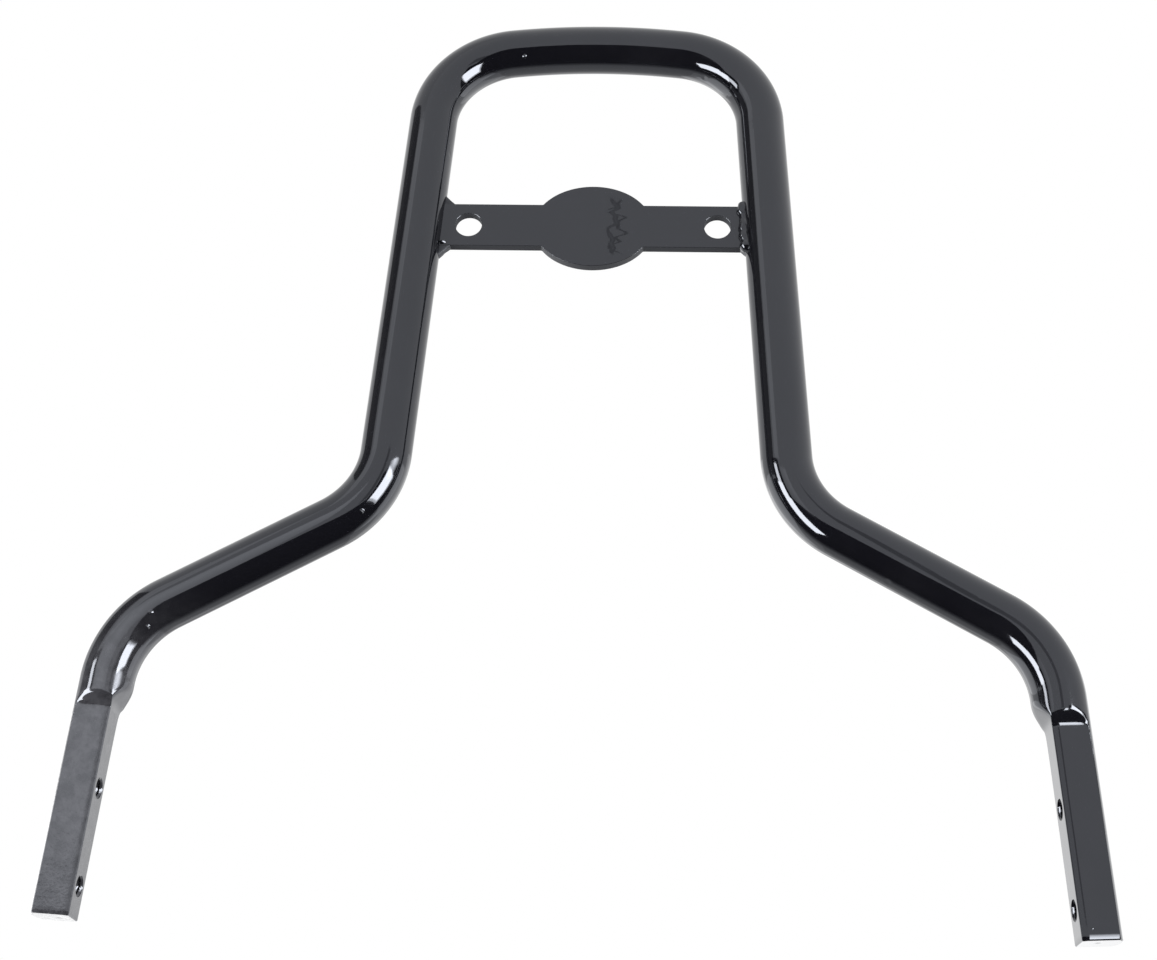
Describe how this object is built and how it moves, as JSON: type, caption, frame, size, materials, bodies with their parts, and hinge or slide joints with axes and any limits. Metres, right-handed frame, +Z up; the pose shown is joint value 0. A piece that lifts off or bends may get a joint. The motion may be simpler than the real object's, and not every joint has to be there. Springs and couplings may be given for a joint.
{
  "type": "sissy bar",
  "caption": "Hoop-shaped sissy bar for a motorcycle passenger seat: bent black round bar with flared legs, flattened drilled ends and a welded oval pad plate.",
  "frame": {"origin": "middle of the box's bottom: the lowest corners of the leg ends, in the plane of symmetry and the plane of the bar's axis", "axes": "+X to the right seen from the pad side, +Y to the back of the bar, +Z up along the hoop as it stands on the motorcycle"},
  "size_m": [0.2984, 0.0158, 0.3072],
  "materials": {
    "gloss_black_paint": "gloss black paint over steel"
  },
  "bodies": {
    "root": {"upright_bar": "gloss_black_paint", "pad_plate": "gloss_black_paint", "left_weld": "gloss_black_paint", "right_weld": "gloss_black_paint"}
  },
  "joints": []
}
